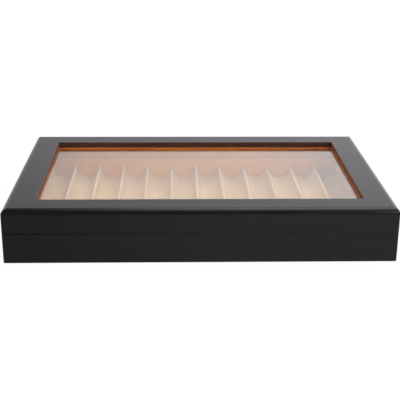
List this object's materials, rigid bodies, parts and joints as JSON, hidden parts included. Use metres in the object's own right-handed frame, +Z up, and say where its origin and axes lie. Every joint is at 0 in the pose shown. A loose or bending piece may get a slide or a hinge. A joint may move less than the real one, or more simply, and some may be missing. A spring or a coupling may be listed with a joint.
{
  "type": "pen display chest",
  "caption": "Flat wooden display chest for pens, with a hinged glass-topped lid over a fabric-covered tray of half-round slots.",
  "frame": {"origin": "middle of the underside felt, on the surface that the chest stands on", "axes": "+X to the right along the width, +Y from the front to the hinged rear, +Z up"},
  "size_m": [0.343, 0.2333, 0.0492],
  "materials": {
    "dark_lacquer": "near-black brown gloss lacquer",
    "panel_board": "plain board",
    "black_felt": "felt",
    "caramel_lining": "suede-like nap",
    "tray_foam": "moulded foam",
    "beige_velvet": "short-pile velvet",
    "brass": "satin",
    "clear_glass": "clear float glass",
    "amber_bead": "amber-stained satin"
  },
  "bodies": {
    "base": {"base_front_wall": "dark_lacquer", "base_rear_wall": "dark_lacquer", "base_left_wall": "dark_lacquer", "base_right_wall": "dark_lacquer", "bottom_panel": "panel_board", "underside_felt": "black_felt", "base_front_lining": "caramel_lining", "base_rear_lining": "caramel_lining", "base_left_lining": "caramel_lining", "base_right_lining": "caramel_lining", "tray_core": "tray_foam", "tray_velvet": "beige_velvet", "left_hinge_base_leaf": "brass", "left_hinge_pin": "brass", "right_hinge_base_leaf": "brass", "right_hinge_pin": "brass", "base_hinge_screws": "brass"},
    "lid": {"lid_front_wall": "dark_lacquer", "lid_front_rail": "dark_lacquer", "front_glazing_bead": "amber_bead", "lid_front_lining": "caramel_lining", "lid_rear_wall": "dark_lacquer", "lid_rear_rail": "dark_lacquer", "rear_glazing_bead": "amber_bead", "lid_rear_lining": "caramel_lining", "lid_left_wall": "dark_lacquer", "lid_left_rail": "dark_lacquer", "left_glazing_bead": "amber_bead", "lid_left_lining": "caramel_lining", "lid_right_wall": "dark_lacquer", "lid_right_rail": "dark_lacquer", "right_glazing_bead": "amber_bead", "lid_right_lining": "caramel_lining", "glass_pane": "clear_glass", "left_hinge_lid_leaf": "brass", "right_hinge_lid_leaf": "brass", "lid_hinge_screws": "brass"}
  },
  "joints": [
    {"name": "lid_hinge", "type": "hinge", "parent": "base", "child": "lid", "pos_m": [0, 0.1168, 0.0271], "axis": [-1, 0, 0], "range_deg": [0, 95]}
  ]
}
